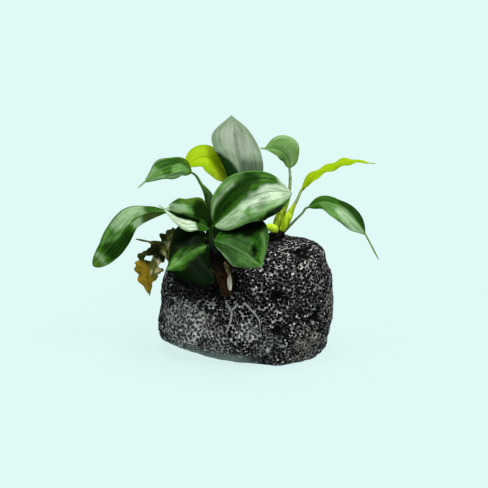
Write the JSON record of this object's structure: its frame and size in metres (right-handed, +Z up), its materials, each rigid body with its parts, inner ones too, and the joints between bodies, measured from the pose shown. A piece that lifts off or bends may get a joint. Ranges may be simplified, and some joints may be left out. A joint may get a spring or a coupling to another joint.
{
  "type": "anubias on stone",
  "caption": "Small anubias water plant whose creeping rhizome clings to a dark porous stone with a flat underside, its blades in a left and a right tuft.",
  "frame": {"origin": "middle of the stone's flat base", "axes": "+Z up; +X along the object's length, towards the right tuft; the front of the plant, with the old end of the rhizome, faces -Y"},
  "size_m": [0.1793, 0.1099, 0.1514],
  "materials": {
    "stone": "rough",
    "blade_green": "glossy",
    "blade_grey_green": "satin",
    "blade_pale": "satin",
    "blade_lime": "satin",
    "blade_withered": "matt",
    "petiole": "satin",
    "petiole_lime": "satin",
    "petiole_withered": "matt",
    "rhizome": "matt",
    "root": "matt",
    "root_stub": "matt",
    "shoot": "satin"
  },
  "bodies": {
    "root": {"stone": "stone", "rhizome": "rhizome", "rhizome_branch": "rhizome", "leaf_top": "blade_grey_green", "petiole_top": "petiole", "leaf_lime_left": "blade_lime", "petiole_lime_left": "petiole_lime", "leaf_upper_left": "blade_green", "petiole_upper_left": "petiole", "leaf_far_left": "blade_green", "petiole_far_left": "petiole", "leaf_middle_left": "blade_green", "petiole_middle_left": "petiole", "leaf_centre": "blade_green", "petiole_centre": "petiole", "leaf_lower": "blade_green", "petiole_lower": "petiole", "leaf_lower_left": "blade_green", "petiole_lower_left": "petiole", "leaf_withered_inner": "blade_withered", "petiole_withered_inner": "petiole_withered", "leaf_withered_hanging": "blade_withered", "petiole_withered_hanging": "petiole_withered", "leaf_withered_upper": "blade_withered", "petiole_withered_upper": "petiole_withered", "leaf_right_small": "blade_pale", "petiole_right_small": "petiole", "leaf_right_lime": "blade_lime", "petiole_right_lime": "petiole_lime", "leaf_right_hanging": "blade_green", "petiole_right_hanging": "petiole", "root_left": "root", "root_middle": "root", "root_right": "root", "root_stub": "root_stub", "shoot": "shoot"}
  },
  "joints": []
}
